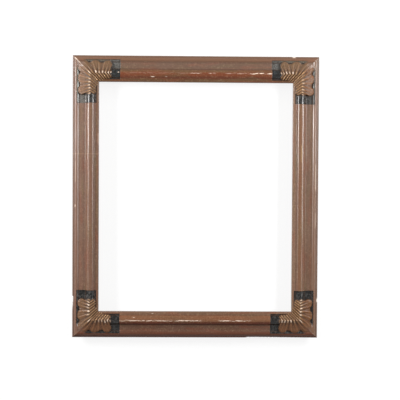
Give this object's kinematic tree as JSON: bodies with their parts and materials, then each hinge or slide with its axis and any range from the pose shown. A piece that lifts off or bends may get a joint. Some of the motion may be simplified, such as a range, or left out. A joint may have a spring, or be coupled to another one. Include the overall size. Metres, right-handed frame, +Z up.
{
  "type": "picture frame",
  "caption": "Empty rectangular picture frame of mitred painted moulding, with a carved bronzed leaf on black ground at each corner, hung on a wall by its screw eyes.",
  "frame": {"origin": "on the back plane of the wood, midway between the two screw eyes", "axes": "+X along the hanging line to the right of someone facing the front, +Y from the front back to the wall, +Z up"},
  "size_m": [0.709, 0.05, 0.812],
  "materials": {
    "painted_moulding": "aged red-brown paint, with rubbed bronze and black at the corners",
    "spline_wood": "bare hardwood",
    "nail_steel": "dark steel",
    "eye_brass": "dull brass"
  },
  "bodies": {
    "root": {"top_rail": "painted_moulding", "bottom_rail": "painted_moulding", "left_stile": "painted_moulding", "right_stile": "painted_moulding", "top_left_spline": "spline_wood", "top_right_spline": "spline_wood", "bottom_left_spline": "spline_wood", "bottom_right_spline": "spline_wood", "top_left_nails": "nail_steel", "top_right_nails": "nail_steel", "bottom_left_nails": "nail_steel", "bottom_right_nails": "nail_steel", "left_screw_eye": "eye_brass", "right_screw_eye": "eye_brass"}
  },
  "joints": []
}
